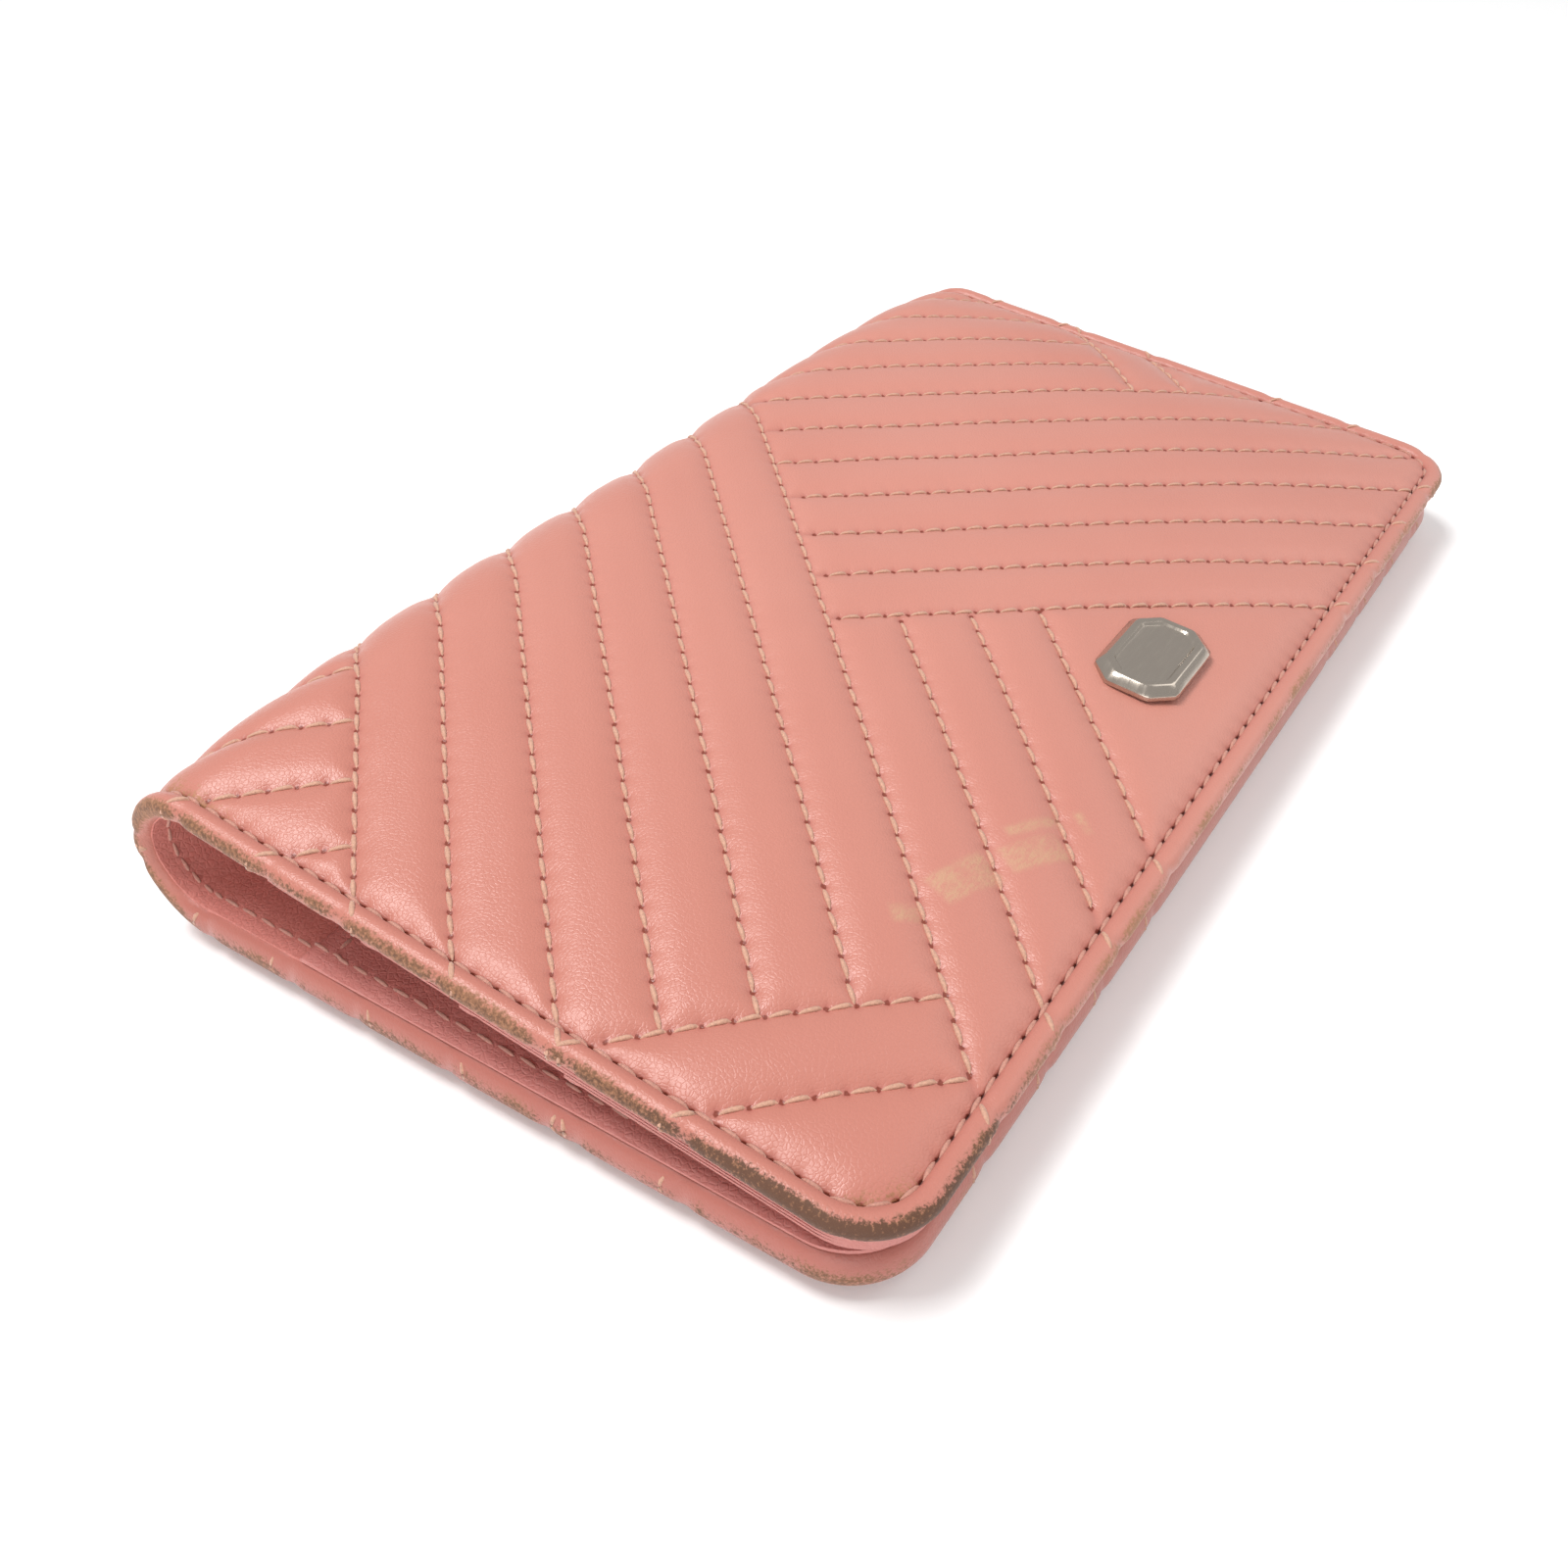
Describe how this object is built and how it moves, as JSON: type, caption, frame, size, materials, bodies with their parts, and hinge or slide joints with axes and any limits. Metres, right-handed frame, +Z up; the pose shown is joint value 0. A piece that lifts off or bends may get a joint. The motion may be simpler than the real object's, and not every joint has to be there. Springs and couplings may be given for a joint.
{
  "type": "long wallet",
  "caption": "Long bifold wallet in quilted leather with a rounded spine that unfolds, card tiers, a banknote pocket and a zipped coin pocket.",
  "frame": {"origin": "middle of the closed wallet on the surface that it lies on", "axes": "+X along the spine, +Y towards the fold, -Y towards the open edge, +Z up; the emblem is on the upper leaf"},
  "size_m": [0.19, 0.105, 0.0231],
  "materials": {
    "quilted_leather": "soft pink lambskin, quilted, satin",
    "edge_leather": "turned edge, worn to tan and brown",
    "lining_leather": "smooth pink lambskin, satin",
    "pocket_leather": "smooth pink lambskin, lightly wrinkled",
    "spine_lining": "fine-grained pink lining leather",
    "thread": "twisted tan-pink polyester thread",
    "zip_tape": "woven pink zip tape",
    "coin_cloth": "plain woven lining cloth",
    "zip_metal": "polished pale nickel",
    "emblem_metal": "polished pale nickel, lightly worn",
    "board": "plain fibre board",
    "foam": "open-cell padding"
  },
  "bodies": {
    "back_half": {"back_cover": "quilted_leather", "back_foam": "foam", "back_turned_edge": "edge_leather", "back_board": "board", "back_lining": "lining_leather", "back_edge_thread": "thread", "coin_pocket_rear": "coin_cloth", "coin_pocket_gusset": "coin_cloth", "coin_pocket_front": "coin_cloth", "zip_tape_spine_side": "zip_tape", "zip_tape_edge_side": "zip_tape", "zip_teeth_spine_side": "zip_metal", "zip_teeth_edge_side": "zip_metal", "zip_stops": "zip_metal", "note_pocket": "pocket_leather", "note_pocket_hem": "pocket_leather", "note_pocket_thread": "thread"},
    "slider": {"zip_slider": "zip_metal"},
    "pull": {"zip_pull": "zip_metal"},
    "spine_1": {"spine_cover_1": "quilted_leather", "spine_lining_1": "spine_lining"},
    "spine_2": {"spine_cover_2": "quilted_leather", "spine_lining_2": "spine_lining"},
    "spine_3": {"spine_cover_3": "quilted_leather", "spine_lining_3": "spine_lining"},
    "front_half": {"front_cover": "quilted_leather", "front_foam": "foam", "front_turned_edge": "edge_leather", "front_board": "board", "front_lining": "lining_leather", "front_edge_thread": "thread", "card_tier_1": "pocket_leather", "card_tier_2": "pocket_leather", "card_tier_3": "pocket_leather", "card_front_panel": "pocket_leather", "card_divider_thread": "thread", "emblem_plate": "emblem_metal", "emblem_posts": "emblem_metal", "emblem_backing": "emblem_metal"}
  },
  "joints": [
    {"name": "fold_back", "type": "hinge", "parent": "back_half", "child": "spine_1", "pos_m": [0, 0.04225, 0.002], "axis": [-1, 0, 0], "range_deg": [0, 30.5]},
    {"name": "fold_low", "type": "hinge", "parent": "spine_1", "child": "spine_2", "pos_m": [0, 0.05131, 0.00746], "axis": [-1, 0, 0], "range_deg": [0, 61]},
    {"name": "fold_high", "type": "hinge", "parent": "spine_2", "child": "spine_3", "pos_m": [0, 0.05071, 0.01803], "axis": [-1, 0, 0], "range_deg": [0, 61]},
    {"name": "fold_front", "type": "hinge", "parent": "spine_3", "child": "front_half", "pos_m": [0, 0.04109, 0.02243], "axis": [-1, 0, 0], "range_deg": [0, 30.5]},
    {"name": "zip_slide", "type": "slide", "parent": "back_half", "child": "slider", "axis": [-1, 0, 0], "range_m": [0, 0.145]},
    {"name": "pull_hinge", "type": "hinge", "parent": "slider", "child": "pull", "pos_m": [0.0725, 0.03325, 0.00845], "axis": [0, 1, 0], "range_deg": [0, 175]}
  ],
  "couplings": [
    {"joint": "fold_low", "follows": "fold_back", "ratio": 2},
    {"joint": "fold_high", "follows": "fold_back", "ratio": 2},
    {"joint": "fold_front", "follows": "fold_back", "ratio": 1}
  ]
}
